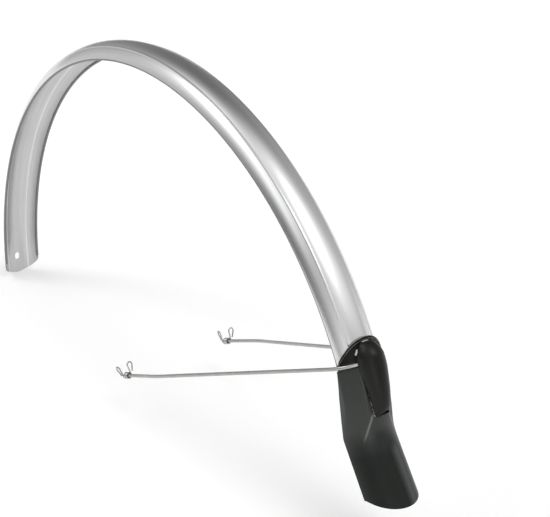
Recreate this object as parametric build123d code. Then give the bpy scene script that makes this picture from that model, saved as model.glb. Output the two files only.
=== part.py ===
"""Rear bicycle mudguard with flap, wire stay and spring clips.

Millimetres. +Z up, +X from the blade's front end to the flap, Y across.
The shapes are laid out round the wheel's axle, then all moved so that the
origin lies on the flat at the front end, in the middle of its oblong hole.
"""
import math
import os

from build123d import *

# ---------------------------------------------------------------- dimensions
# blade
ARC_R = 335.0          # axle to the centre of the blade's rounded section
SECTION_R = 24.6       # outer radius of that section
SHEET = 1.0            # sheet thickness
HEM_R = 1.5            # outer radius of the curled edge
HEM_AT = 67.5          # where the curl starts, degrees from the crown
HEM_TURN = 250.0       # how far the curl turns
HEM_END = 179.3        # the curl stops where the rounded front end starts
CREASE_AT = 34.2       # crease line, degrees from the crown
CREASE_HALF = 2.0      # half its width, degrees
CREASE_H = 0.5         # its height
BLADE_FRONT = 184.5    # blade's arc before the end is cut to shape, degrees
BLADE_REAR = 22.0      # blade's other end, under the flap
END_HALF_W = 23.0      # rounded front end: half width, depth and height above the axle
END_DEPTH = 20.6
END_Z = 3.0
PAD_X = -358.0         # flat round the front hole
SLOT_Z = 4.2           # hole height above the axle
SLOT_W = 5.5
SLOT_L = 9.4

# stay
STAY_D = 3.5
STAY_TILT = 23.8       # slope of the stay's plane
STAY_UP = 16.74        # distance of that plane from the axle
STAY_Y = 62.8          # half spread at the ends
STAY_END = 16.0        # from the axle along the stay's plane to its ends
STAY_BEND = 85.9       # the same to the bend
STAY_BEND_R = 150.0
BOW_R = 27.9           # middle of the stay, radius of its centre line

# collar, flap and cover
LAYER_IN = 25.2        # what lies on the blade: inner and outer radius of section
LAYER_OUT = 27.2
FLAP_AT = 26.1         # flap's upper edge, below the stay, degrees
COLLAR_AT = 26.95      # collar's lower edge, above the stay
RIM_W = 3.0
RIM_R = 28.3
FLAP_WALL = 2.2
TONGUE_T = 0.85        # flap's thin tongue under the stay
FLARE_TILT = 34.2      # lower flare from the vertical, degrees
FLARE_L = 73.0         # along the crown
FLARE_CORNER = 18.2    # how much shorter the flare is at its sides
COVER_WALL = 1.8

# clamp under the cover
SCREW_D = 4.0
SCREW_PITCH = 9.0      # distance of each screw from the stay
SADDLE_W = 10.0
SADDLE_T = 1.5

# spring clips
CLIP_WIRE = 1.6
CLIP_RING = 2.77       # centre line radius of the coil
CLIP_PITCH = 1.72
CLIP_TURNS = 4.5
CLIP_AT = 22.3         # coil's middle, along the stay's plane
EAR_LEGS = (8.2, 9.8)  # straight leg of the front and the rear ear
EAR_R = 2.9            # loop radius
EAR_TURN = 205.0       # how far each loop turns
EAR_BACK = 6.6         # length of the leg that comes back
EAR_TWIST = (40.0, 4.0)  # loops turned out of the coil's cross plane, degrees
CLIP_ROLL = {1: -4.0, -1: 9.0}  # how far each clip is turned round the stay, degrees

# --------------------------------------------------------------------- tools
ORIGIN = Vector(PAD_X, 0, SLOT_Z)


def rad(a):
    return math.radians(a)


def at(theta, r, y=0.0):
    return Vector(r * math.cos(rad(theta)), y, r * math.sin(rad(theta)))


def out(theta):
    return Vector(math.cos(rad(theta)), 0, math.sin(rad(theta)))


def sec(phi, radius):
    """Point of the section plane: x is the radius from the axle, y across."""
    return (ARC_R + radius * math.cos(rad(phi)), radius * math.sin(rad(phi)))


def turn(c, radius, a0, a1):
    p = [
        (c[0] + radius * math.cos(rad(a)), c[1] + radius * math.sin(rad(a)))
        for a in (a0, (a0 + a1) / 2, a1)
    ]
    return ThreePointArc(*p)


def ring(face, th0, th1):
    """Turn a section about the axle from th0 to th1 degrees."""
    return revolve(face, Axis.Y, th1 - th0).rotate(Axis.Y, -th1)


def radial(theta, r):
    """Plane with z pointing away from the axle and x across."""
    return Plane(origin=at(theta, r), x_dir=(0, 1, 0), z_dir=out(theta))


def arch(r_in, r_out, half):
    """Arched strip section between two radii."""
    c = (ARC_R, 0)
    return make_face(
        [
            turn(c, r_out, -half, 0),
            turn(c, r_out, 0, half),
            Line(sec(half, r_out), sec(half, r_in)),
            turn(c, r_in, half, 0),
            turn(c, r_in, 0, -half),
            Line(sec(-half, r_in), sec(-half, r_out)),
        ]
    )


def filled(r_out, half):
    """Arched section filled down to its chord."""
    c = (ARC_R, 0)
    return make_face(
        [
            turn(c, r_out, -half, 0),
            turn(c, r_out, 0, half),
            Line(sec(half, r_out), sec(-half, r_out)),
        ]
    )


def block(x0, x1, y0, y1, z0, z1):
    return Pos((x0 + x1) / 2, (y0 + y1) / 2, (z0 + z1) / 2) * Box(
        x1 - x0, y1 - y0, z1 - z0
    )


# --------------------------------------------------------------------- blade
def blade_section():
    c = (ARC_R, 0)
    c1, c2 = CREASE_AT - CREASE_HALF, CREASE_AT + CREASE_HALF
    edges = []

    def skin(radius, bump, a):
        rows = [(-a, -c2), (-c2, -c1), (-c1, 0), (0, c1), (c1, c2), (c2, a)]
        for i, (p, q) in enumerate(rows):
            if i in (1, 4):
                edges.append(
                    ThreePointArc(
                        sec(p, radius), sec((p + q) / 2, radius + bump), sec(q, radius)
                    )
                )
            else:
                edges.append(turn(c, radius, p, q))

    skin(SECTION_R, CREASE_H, HEM_AT)
    skin(SECTION_R - SHEET, CREASE_H * 0.9, HEM_AT)
    for s in (1, -1):
        h = sec(s * HEM_AT, SECTION_R - HEM_R)
        a0, a1 = s * HEM_AT, s * (HEM_AT + HEM_TURN)
        outer = turn(h, HEM_R, a0, a1)
        inner = turn(h, HEM_R - SHEET, a0, a1)
        edges += [outer, inner, Line(outer @ 1, inner @ 1)]
    return make_face(edges)


def curl_room(s):
    """Section of the room that one curl takes, up to the sheet's own edge."""
    low = SECTION_R - SHEET - 0.3
    return make_face(
        Polyline(
            sec(s * HEM_AT, SECTION_R + 2),
            sec(s * HEM_AT, low),
            sec(s * (HEM_AT - 6.5), low - 0.1),
            sec(s * (HEM_AT - 6.5), low - 5),
            sec(s * (HEM_AT + 9), low - 5),
            sec(s * (HEM_AT + 9), SECTION_R + 2),
            close=True,
        )
    )


S_TH = math.degrees(
    math.asin(STAY_UP / (ARC_R + BOW_R))
) + STAY_TILT                       # where the stay crosses the crown, degrees
SCREW_TH = [
    S_TH + math.degrees(d / (ARC_R + LAYER_OUT)) for d in (SCREW_PITCH, -SCREW_PITCH)
]


def screw_holes(d):
    return [radial(t, ARC_R + SECTION_R) * Cylinder(d / 2, 30) for t in SCREW_TH]


def make_blade():
    b = ring(blade_section(), BLADE_REAR, BLADE_FRONT)
    for s in (1, -1):
        b -= ring(curl_room(s), HEM_END, BLADE_FRONT + 2)
    b -= block(PAD_X - 20, PAD_X, -30, 30, -50, 70)
    pad = ring(filled(SECTION_R - SHEET / 2, 60), 165, BLADE_FRONT) & block(
        PAD_X, PAD_X + SHEET, -12, 12, -50, 70
    )
    b += pad
    end = Plane.YZ * (
        Pos(0, END_Z - 30) * Rectangle(90, 60)
        - Pos(0, END_Z) * Ellipse(END_HALF_W, END_DEPTH)
    )
    b -= Pos(-390, 0, 0) * extrude(end, 80, dir=(1, 0, 0))
    hole = Pos(0, 0, SLOT_Z) * (Plane.YZ * (Rot(0, 0, 90) * SlotOverall(SLOT_L, SLOT_W)))
    b -= Pos(PAD_X - 5, 0, 0) * extrude(hole, 10, dir=(1, 0, 0))
    for h in screw_holes(SCREW_D + 0.4):
        b -= h
    return b


# ---------------------------------------------------------------------- stay
STAY_PLANE = Plane(
    origin=(
        -STAY_UP * math.sin(rad(STAY_TILT)),
        0,
        STAY_UP * math.cos(rad(STAY_TILT)),
    ),
    x_dir=(math.cos(rad(STAY_TILT)), 0, math.sin(rad(STAY_TILT))),
    z_dir=(-math.sin(rad(STAY_TILT)), 0, math.cos(rad(STAY_TILT))),
)
BOW_U = math.sqrt(ARC_R**2 - STAY_UP**2)


def stay_path():
    """Corner, tangent and end points in the stay's own plane."""
    du, dy = BOW_U - STAY_BEND, -STAY_Y
    dist = math.hypot(du, dy)
    lean = math.atan2(dy, du) + math.asin(BOW_R / dist)
    length = math.sqrt(dist**2 - BOW_R**2)
    tang = (STAY_BEND + length * math.cos(lean), STAY_Y + length * math.sin(lean))
    cut = STAY_BEND_R * math.tan(abs(lean) / 2)
    b0 = (STAY_BEND - cut, STAY_Y)
    b1 = (STAY_BEND + cut * math.cos(lean), STAY_Y + cut * math.sin(lean))
    mid_a = abs(lean) / 2
    bm = (
        b0[0] + STAY_BEND_R * math.sin(mid_a),
        STAY_Y - STAY_BEND_R * (1 - math.cos(mid_a)),
    )

    def m(p):
        return (p[0], -p[1])

    end = (STAY_END, STAY_Y)
    top = (BOW_U + BOW_R, 0)
    return [
        Line(end, b0),
        ThreePointArc(b0, bm, b1),
        Line(b1, tang),
        ThreePointArc(tang, top, m(tang)),
        Line(m(tang), m(b1)),
        ThreePointArc(m(b1), m(bm), m(b0)),
        Line(m(b0), m(end)),
    ]


def wire_solid(edges, d):
    path = Wire(edges)
    start = Plane(origin=path @ 0, z_dir=path % 0)
    return sweep(start * Circle(d / 2), path=path)


def stay_like(d):
    return wire_solid([STAY_PLANE.from_local_coords(e) for e in stay_path()], d)


def make_stay():
    s = stay_like(STAY_D)
    rims = s.edges().filter_by(GeomType.CIRCLE).group_by(Axis.X)[0]
    return chamfer(rims, 0.4)


# ----------------------------------------------------- flap, collar and cover
KINK = Vector(320.9, 0, 88.2)       # edge of the flap at its kink
KINK_OUT = 22.0                     # slope of the kink's plane
EDGE_LINE = [                       # edge of the flap seen from the side (x, z)
    (310.2, 150.9),
    (312.6, 137.0),
    (314.1, 125.3),
    (317.3, 106.7),
    (320.9, 88.2),
]


RIDGE = (12.9, 361.9)               # ridge beside the cover: across, from the axle
SHOE_LOW = 20.4                     # lower end of the shoe's even part, degrees
EDGE_R = 332.0                      # sides before they are cut to the edge line


def flap_wire(origin, slope, outer, inner):
    """Closed shell section; all points are (across, outwards) from origin."""
    n = out(slope)

    def p(y, d):
        return Vector(origin.X, y, origin.Z) + n * d

    def bend(a, b, sag):
        """Arc between two points, bowed outwards by sag."""
        lx, ly = b[0] - a[0], b[1] - a[1]
        ll = math.hypot(lx, ly)
        m = ((a[0] + b[0]) / 2 + ly / ll * sag, (a[1] + b[1]) / 2 - lx / ll * sag)
        return ThreePointArc(p(*a), p(*m), p(*b))

    def chain(edge, skirt, ridge, crown, side_sag):
        # sag of each half of the arc ridge - crown - ridge
        rise = crown - ridge[1]
        w = ridge[0]
        r = (w * w + rise * rise) / (2 * rise)
        half = math.asin(w / abs(r)) / 2
        top_sag = r * (1 - math.cos(half))
        c = (0.0, crown)

        def m(q):
            return (-q[0], q[1])

        right = [
            Line(p(*edge), p(*skirt)),
            bend(skirt, ridge, side_sag),
            bend(ridge, c, top_sag),
        ]
        left = [
            bend(c, m(ridge), top_sag),
            bend(m(ridge), m(skirt), side_sag),
            Line(p(*m(skirt)), p(*m(edge))),
        ]
        return right + left

    o = chain(*outer)
    i = chain(*inner)
    caps = [Line(o[0] @ 0, i[0] @ 0), Line(o[-1] @ 1, i[-1] @ 1)]
    return Wire(o + caps + i)


def shoe_wire(theta):
    """Shoe's section on a radial plane, heights counted from the sides' ends."""
    e = EDGE_R
    a = rad(31)
    r31 = (LAYER_IN * math.sin(a), ARC_R + LAYER_IN * math.cos(a) - e)
    b = rad(68)
    kin = (LAYER_IN * math.sin(b), ARC_R + LAYER_IN * math.cos(b) - e)
    sag = LAYER_IN * (1 - math.cos((b - a) / 2))
    return flap_wire(
        at(theta, e),
        theta,
        ((25.2, 0.0), (25.1, 345.0 - e), (RIDGE[0], RIDGE[1] - e), ARC_R + LAYER_OUT - e, 0.25),
        ((23.7, 0.0), kin, r31, ARC_R + LAYER_IN - e, sag),
    )


def kink_wire(shift=0.0, grow=0.0):
    d = Vector(math.sin(rad(FLARE_TILT)), 0, -math.cos(rad(FLARE_TILT)))
    c = 0.6

    def arcs(q):
        a = rad(48)
        return (
            (q, 0.0),
            (q, c),
            (q * math.sin(a), c + q * math.cos(a)),
            c + q,
            q * (1 - math.cos(rad(21))),
        )

    r = 25.2 + grow
    return flap_wire(KINK + d * shift, KINK_OUT, arcs(r), arcs(r - FLAP_WALL))


def flap_top(gap):
    """Room taken by the shoe under the cover and the saddle."""
    w, r = RIDGE
    c = ARC_R + LAYER_OUT
    sk = make_face(
        [
            ThreePointArc((r + gap, -w), (c + gap, 0), (r + gap, w)),
            Polyline((r + gap, w), (340, 25), (340, -25), (r + gap, -w)),
        ]
    )
    return ring(sk, SHOE_LOW, FLAP_AT)


def make_flap():
    shoe = revolve(make_face(shoe_wire(FLAP_AT).edges()), Axis.Y, FLAP_AT - SHOE_LOW)
    neck = Solid.make_loft([shoe_wire(SHOE_LOW), kink_wire()], True)
    flare = Solid.make_loft([kink_wire(), kink_wire(FLARE_L + 6, 0.8)], True)
    # flare's rounded end, seen square to the flare
    a = rad(FLARE_TILT)
    face = Plane(
        origin=KINK,
        x_dir=(0, 1, 0),
        z_dir=(math.cos(a), 0, math.sin(a)),
    )
    down = -1 if face.y_dir.Z > 0 else 1
    s_end = FLARE_L - FLARE_CORNER
    tip = face * (
        Pos(0, down * (s_end + 30)) * Rectangle(90, 60)
        - Pos(0, down * s_end) * Ellipse(26.2, FLARE_CORNER)
    )
    flare -= extrude(tip, 80, dir=face.z_dir, both=True)
    # sides of the shoe end on the edge line
    side = Plane.XZ * make_face(
        [
            Polyline(*EDGE_LINE),
            Polyline(EDGE_LINE[-1], (250, 70), (250, 170), EDGE_LINE[0]),
        ]
    )
    cutter = extrude(side, 60, both=True)
    f = (shoe + neck) - cutter
    f = f + flare
    f += ring(arch(LAYER_IN, LAYER_IN + TONGUE_T, 66), FLAP_AT - 0.5, COLLAR_AT - 0.05)
    for h in screw_holes(SCREW_D + 0.4):
        f -= h
    return f


def rim_tool(drop):
    """Everything below the collar's arched top edge, looked at square to it."""
    face = Plane(origin=at(28, 300), x_dir=(0, 1, 0), z_dir=out(28))
    half = [(0, 12.0), (5.2, 11.5), (10.2, 9.9), (15, 7.0), (18.8, 3.4), (22.3, -1.4)]
    half += [(23.9, -6.2), (24.7, -14)]
    pts = [(-y, s - drop) for y, s in reversed(half[1:])] + [(y, s - drop) for y, s in half]
    w = pts[-1]
    sk = make_face(
        [
            Spline(*pts),
            Polyline(w, (w[0], -40), (-w[0], -40), pts[0]),
        ]
    )
    return extrude(face * sk, 100, dir=face.z_dir)


def make_collar():
    half = 66.0
    base = ring(arch(LAYER_IN, LAYER_OUT, half), COLLAR_AT, 31)
    rim = ring(arch(LAYER_OUT - 0.3, RIM_R, half), COLLAR_AT, 31) - rim_tool(RIM_W)
    c = (base + rim) & rim_tool(0)
    c -= stay_like(STAY_D + 0.2)
    for h in screw_holes(SCREW_D + 0.4):
        c -= h
    return c


COVER_ROWS = [                      # degrees, half width, height of the top
    (29.2, 5.8, 366.2),
    (28.95, 7.9, 369.4),
    (28.4, 10.1, 372.5),
    (27.8, 12.0, 374.7),
    (27.0, 13.2, 376.0),
    (25.8, 13.4, 376.0),
    (24.0, 12.2, 375.1),
    (21.6, 10.3, 373.1),
    (20.0, 8.9, 370.7),
    (18.75, 7.7, 366.6),
]
COVER_KNEE = 364.2                  # where the round top starts


def cover_loft(shrink):
    wires = []
    for n, (t, w, top) in enumerate(COVER_ROWS):
        w, top = w - shrink, top - shrink
        if n == 0:
            t -= shrink * 0.16
        if n == len(COVER_ROWS) - 1:
            t += shrink * 0.45
        low = 355.0 if shrink == 0 else 352.0
        knee = COVER_KNEE - shrink * 0.8
        s = w * 0.99
        wires.append(
            Wire(
                [
                    Line(at(t, low, -w), at(t, knee, -s)),
                    ThreePointArc(at(t, knee, -s), at(t, top), at(t, knee, s)),
                    Line(at(t, knee, s), at(t, low, w)),
                    Line(at(t, low, w), at(t, low, -w)),
                ]
            )
        )
    return Solid.make_loft(wires)


def make_cover():
    c = cover_loft(0) - cover_loft(COVER_WALL)
    c -= ring(filled(LAYER_OUT + 0.05, 70), FLAP_AT - 0.2, 31)
    c -= ring(filled(RIM_R + 0.08, 70), COLLAR_AT, 31) - rim_tool(RIM_W + 0.12)
    c -= make_flap()
    c -= stay_like(STAY_D + 1.0)
    tip = radial(19.12, 350) * (SlotOverall(9.6, 2.4))
    c -= extrude(tip, 40, dir=out(19.12))
    parts = c.solids()
    return max(parts, key=lambda s: s.volume)


# --------------------------------------------------------------------- clamp
def make_saddle():
    base = ARC_R + LAYER_OUT + 0.05
    grip = STAY_D / 2 + 0.05
    low = base - (ARC_R + BOW_R)
    r_o = grip + SADDLE_T
    foot = SCREW_PITCH + 5.2
    strap = Plane(
        origin=at(S_TH, ARC_R + BOW_R),
        x_dir=(-math.sin(rad(S_TH)), 0, math.cos(rad(S_TH))),
        z_dir=(0, 1, 0),
    )
    sk = (
        Pos(0, low + SADDLE_T / 2 - 0.4) * Rectangle(2 * foot, SADDLE_T + 0.8)
        + (Circle(r_o) & Pos(0, 5 + low) * Rectangle(12, 10))
        - Circle(grip)
        - Pos(0, -5) * Rectangle(2 * grip, 10)
    )
    s = extrude(strap * sk, SADDLE_W / 2, both=True)
    s -= ring(filled(LAYER_OUT + 0.05, 60), COLLAR_AT - 0.1, S_TH + 4)
    s -= flap_top(0.05)
    for h in screw_holes(SCREW_D + 0.4):
        s -= h
    for p in screw_seats():
        s -= p * (Pos(0, 0, 5.03) * Cylinder(4.3, 10))
    return s


def screw_seats():
    return [radial(t, ARC_R + LAYER_OUT + 0.05 + SADDLE_T) for t in SCREW_TH]


def make_screws():
    group = []
    for p in screw_seats():
        seat = p * Pos(0, 0, 0.06)
        head = Pos(0, 0, 1.2) * Cylinder(3.7, 2.4)
        head = fillet(head.edges().group_by(Axis.Z)[-1], 0.9)
        head += Pos(0, 0, -5.0) * Cylinder(SCREW_D / 2 - 0.02, 10.0)
        head = chamfer(head.edges().group_by(Axis.Z)[0], 0.4)
        head -= Pos(0, 0, 2.4 - 1.5) * extrude(RegularPolygon(1.25, 6, major_radius=False), 3)
        group.append(seat * head)
    return group


def make_washers():
    top = ARC_R + SECTION_R - SHEET - 0.5
    return [
        radial(t, top - 0.4) * (Cylinder(4.5, 0.8) - Cylinder(SCREW_D / 2 + 0.15, 2))
        for t in SCREW_TH
    ]


def make_nuts():
    top = ARC_R + SECTION_R - SHEET - 0.5 - 0.8 - 0.02
    group = []
    for t in SCREW_TH:
        n = extrude(RegularPolygon(3.5, 6, major_radius=False), 3.2)
        dome = Pos(0, 0, 1.6) * Cylinder(3.9, 3.2)
        dome = chamfer(dome.edges().filter_by(GeomType.CIRCLE), 0.45)
        n = (n & dome) - Cylinder(SCREW_D / 2 + 0.02, 20)
        group.append(radial(t, top - 3.2) * n)
    return group


# --------------------------------------------------------------- spring clips
def make_clip():
    """Coil round the stay's end with one loop from each end of the coil."""
    lean = 12.0
    turns = CLIP_TURNS - 2 * lean / 360
    height = CLIP_PITCH * turns
    # local frame: z along the stay to the rear, x across, y up
    helix = Helix(CLIP_PITCH, height, CLIP_RING)
    a0 = 180 + lean
    coil = Pos(0, 0, -height / 2) * (Rot(0, 0, a0) * helix)

    def ear(start, up, sx, which):
        tw = rad(EAR_TWIST[which])
        side = Vector(sx * math.cos(tw), 0, -sx * math.sin(tw))
        side = (side - up * side.dot(up)).normalized()

        def p(a, b):
            return start + side * a + up * b

        # bend aside, leg up, round the loop and back towards the coil
        h = rad(18)
        p1 = (-3 * (1 - math.cos(h)), 3 * math.sin(h))
        m1 = (-3 * (1 - math.cos(h / 2)), 3 * math.sin(h / 2))
        leg = EAR_LEGS[which]
        p2 = (p1[0] - leg * math.sin(h), p1[1] + leg * math.cos(h))
        c = (p2[0] + EAR_R * math.cos(h), p2[1] + EAR_R * math.sin(h))

        def on(a):
            return (c[0] + EAR_R * math.cos(rad(a)), c[1] + EAR_R * math.sin(rad(a)))

        last = 198 - EAR_TURN
        p3, m3 = on(last), on(198 - EAR_TURN / 2)
        back = (math.sin(rad(last)), -math.cos(rad(last)))
        p4 = (p3[0] + EAR_BACK * back[0], p3[1] + EAR_BACK * back[1])
        return [
            ThreePointArc(p(0, 0), p(*m1), p(*p1)),
            Line(p(*p1), p(*p2)),
            ThreePointArc(p(*p2), p(*m3), p(*p3)),
            Line(p(*p3), p(*p4)),
        ]

    end, start = coil @ 1, coil @ 0
    up1 = (coil % 1).normalized()
    up0 = -(coil % 0).normalized()
    e1 = ear(end, up1, 1, 1)
    e0 = ear(start, up0, -1, 0)
    body = wire_solid([coil], CLIP_WIRE)
    s = Part(children=[]) + body
    for e in (e0, e1):
        s += wire_solid(e, CLIP_WIRE)
    return s


def clip_on(side):
    """The same clip on either end, turned a little round the stay."""
    frame = Plane(
        origin=STAY_PLANE.from_local_coords(Vector(CLIP_AT, side * STAY_Y, 0)),
        x_dir=(0, 1, 0),
        z_dir=STAY_PLANE.x_dir,
    )
    return frame * (Rot(0, 0, CLIP_ROLL[side]) * make_clip())


# -------------------------------------------------------------------- output
def put(name, shapes):
    if not isinstance(shapes, list):
        shapes = [shapes]
    solids = []
    for s in shapes:
        solids += list(s.solids())
    moved = [s.moved(Location(-ORIGIN)) for s in solids]
    shape = moved[0] if len(moved) == 1 else Compound(children=moved)
    export_step(shape, f"parts/{name}.step")
    print(name, len(moved), [round(s.volume, 1) for s in moved], all(s.is_valid for s in moved))


os.makedirs("parts", exist_ok=True)
put("blade", make_blade())
put("mudflap", make_flap())
put("stay_holder", make_collar())
put("stay_cover", make_cover())
put("stay", make_stay())
put("stay_saddle", make_saddle())
put("clamp_screws", make_screws())
put("clamp_washers", make_washers())
put("clamp_nuts", make_nuts())
put("spring_clip_right", clip_on(1))
put("spring_clip_left", clip_on(-1))
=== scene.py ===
"""Looks of the rear bicycle mudguard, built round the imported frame."""

import math

import bpy
import numpy as np
from mathutils import Matrix, Vector


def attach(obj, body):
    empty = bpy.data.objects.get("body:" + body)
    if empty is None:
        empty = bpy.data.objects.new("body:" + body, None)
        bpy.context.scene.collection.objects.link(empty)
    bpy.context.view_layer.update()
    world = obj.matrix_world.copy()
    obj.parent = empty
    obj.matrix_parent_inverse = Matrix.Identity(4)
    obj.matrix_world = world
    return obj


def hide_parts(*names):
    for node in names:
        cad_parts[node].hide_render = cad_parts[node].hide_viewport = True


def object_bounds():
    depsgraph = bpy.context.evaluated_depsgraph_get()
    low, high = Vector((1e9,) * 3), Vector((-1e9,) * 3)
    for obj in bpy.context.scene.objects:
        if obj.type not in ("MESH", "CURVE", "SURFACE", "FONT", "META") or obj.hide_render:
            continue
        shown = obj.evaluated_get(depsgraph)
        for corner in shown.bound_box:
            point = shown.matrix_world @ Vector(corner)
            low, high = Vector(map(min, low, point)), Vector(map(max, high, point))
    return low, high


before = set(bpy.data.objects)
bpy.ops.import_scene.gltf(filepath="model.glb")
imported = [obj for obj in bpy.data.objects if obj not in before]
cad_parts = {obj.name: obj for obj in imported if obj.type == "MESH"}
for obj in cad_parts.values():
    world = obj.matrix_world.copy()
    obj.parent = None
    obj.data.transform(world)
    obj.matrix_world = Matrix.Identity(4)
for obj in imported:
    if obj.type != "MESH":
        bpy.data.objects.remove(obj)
CAD_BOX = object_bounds()
SCENE = bpy.context.scene

# ------------------------------------------------------------------ geometry
# Shapes are laid out in millimetres round the wheel's axle, as in the model,
# and moved to the part's own frame, in metres, at the very end.
SHIFT = np.array([358.0, 0.0, -4.2])

ARC_R = 335.0
SECTION_R = 24.6
SHEET = 1.0
HEM_R = 1.5
HEM_AT = 67.5
HEM_TURN = 250.0
HEM_END = 179.3
CREASE_AT = 34.2
CREASE_HALF = 2.5
CREASE_H = 0.5
BLADE_REAR = 22.0
END_HALF_W = 23.0
END_DEPTH = 20.6
END_Z = 3.0
PAD_X = -358.0
SLOT_Z = 4.2
SLOT_W = 5.5
SLOT_L = 9.4

STAY_D = 3.5
STAY_TILT = math.radians(23.8)
STAY_UP = 16.74
STAY_Y = 62.8
STAY_END = 16.0
STAY_BEND = 85.9
STAY_BEND_R = 150.0
BOW_R = 27.9

LAYER_IN = 25.2
LAYER_OUT = 27.2
FLAP_AT = 26.1
COLLAR_AT = 26.95
RIM_W = 3.0
RIM_R = 28.3
SHOE_LOW = 20.4
TONGUE_T = 0.85
FLAP_WALL = 2.2
FLARE_TILT = math.radians(34.2)
FLARE_L = 73.0
FLARE_CORNER = 18.2
COVER_WALL = 1.8

CLIP_WIRE = 1.6
CLIP_RING = 2.77
CLIP_PITCH = 1.72
CLIP_TURNS = 4.5
CLIP_AT = 22.3
EAR_LEGS = (8.2, 9.8)
EAR_R = 2.9
EAR_TURN = 205.0
EAR_BACK = 6.6
EAR_TWIST = (40.0, 4.0)
CLIP_ROLL = {1: -4.0, -1: 9.0}


def pol(theta, r, y):
    """Points from the angle round the axle (degrees), radius and height across."""
    t = np.radians(theta)
    t, r, y = np.broadcast_arrays(t, r, y)
    return np.stack([r * np.cos(t), y, r * np.sin(t)], -1)


def grid_faces(rows, cols, base=0, close=False, flip=False):
    """Quads of a grid whose vertices run along the columns first."""
    faces = []
    for i in range(rows - 1):
        for j in range(cols if close else cols - 1):
            k = (j + 1) % cols
            q = (
                base + i * cols + j,
                base + i * cols + k,
                base + (i + 1) * cols + k,
                base + (i + 1) * cols + j,
            )
            faces.append(q[::-1] if flip else q)
    return faces


def piece(name, verts, faces, mat, nodes, sharp=35.0, kinds=None, edge=None):
    """A mesh in the part's frame that rides on the body and stands for nodes."""
    me = bpy.data.meshes.new(name)
    me.from_pydata(((np.asarray(verts) + SHIFT) / 1000.0).tolist(), [], faces)
    mats = mat if isinstance(mat, (list, tuple)) else [mat]
    for x in mats:
        me.materials.append(x)
    if kinds is not None:
        me.polygons.foreach_set("material_index", kinds)
    if edge is not None:
        me.attributes.new("edge", "FLOAT", "POINT").data.foreach_set("value", np.asarray(edge, np.float32))
    me.validate()
    ob = bpy.data.objects.new(name, me)
    SCENE.collection.objects.link(ob)
    tidy(ob, sharp)
    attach(ob, "root")
    if nodes:
        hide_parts(*nodes)
    return ob


def tidy(ob, sharp):
    """Outward normals, smooth faces and sharp edges by angle."""
    import bmesh

    bm = bmesh.new()
    bm.from_mesh(ob.data)
    bmesh.ops.remove_doubles(bm, verts=bm.verts, dist=2e-6)
    bmesh.ops.recalc_face_normals(bm, faces=bm.faces)
    bm.to_mesh(ob.data)
    bm.free()
    for p in ob.data.polygons:
        p.use_smooth = True
    ob.data.set_sharp_from_angle(angle=math.radians(sharp))
    ob.data.update()


def cut(ob, verts, faces, sharp=35.0):
    """Takes a closed shape out of a piece."""
    me = bpy.data.meshes.new("cutter")
    me.from_pydata(((np.asarray(verts) + SHIFT) / 1000.0).tolist(), [], faces)
    tool = bpy.data.objects.new("cutter", me)
    SCENE.collection.objects.link(tool)
    tidy(tool, 35)
    mod = ob.modifiers.new("cut", "BOOLEAN")
    mod.operation = "DIFFERENCE"
    mod.solver = "EXACT"
    mod.object = tool
    bake(ob)
    bpy.data.objects.remove(tool)
    bpy.data.meshes.remove(me)
    tidy(ob, sharp)


def bake(ob):
    """Turns the modifiers into mesh."""
    dg = bpy.context.evaluated_depsgraph_get()
    dg.update()
    new = bpy.data.meshes.new_from_object(ob.evaluated_get(dg))
    old = ob.data
    name = old.name
    ob.modifiers.clear()
    ob.data = new
    bpy.data.meshes.remove(old)
    new.name = name


def bevel(ob, width_mm, segments=3, angle=50.0):
    mod = ob.modifiers.new("edge", "BEVEL")
    mod.width = width_mm / 1000.0
    mod.segments = segments
    mod.limit_method = "ANGLE"
    mod.angle_limit = math.radians(angle)
    mod.use_clamp_overlap = True
    mod.harden_normals = False
    bake(ob)
    tidy(ob, 50)


def prism(outline, base, across, along, depth):
    """Closed prism from an outline in the plane (across, along), pushed by depth."""
    o = np.asarray(outline, float)
    n = len(o)
    lo = base + o[:, :1] * across + o[:, 1:] * along
    verts = np.vstack([lo, lo + depth])
    faces = [tuple(range(n)), tuple(range(2 * n - 1, n - 1, -1))]
    faces += [(i, i + n, (i + 1) % n + n, (i + 1) % n) for i in range(n)]
    return verts, faces


def slot_outline(length, width, n=16):
    """Oblong with round ends, its long side along the first coordinate."""
    h, r = (length - width) / 2, width / 2
    a = np.linspace(-np.pi / 2, np.pi / 2, n)
    right = np.stack([h + r * np.cos(a), r * np.sin(a)], -1)
    left = np.stack([-h - r * np.cos(a), -r * np.sin(a)], -1)
    return np.vstack([right, left])


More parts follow.
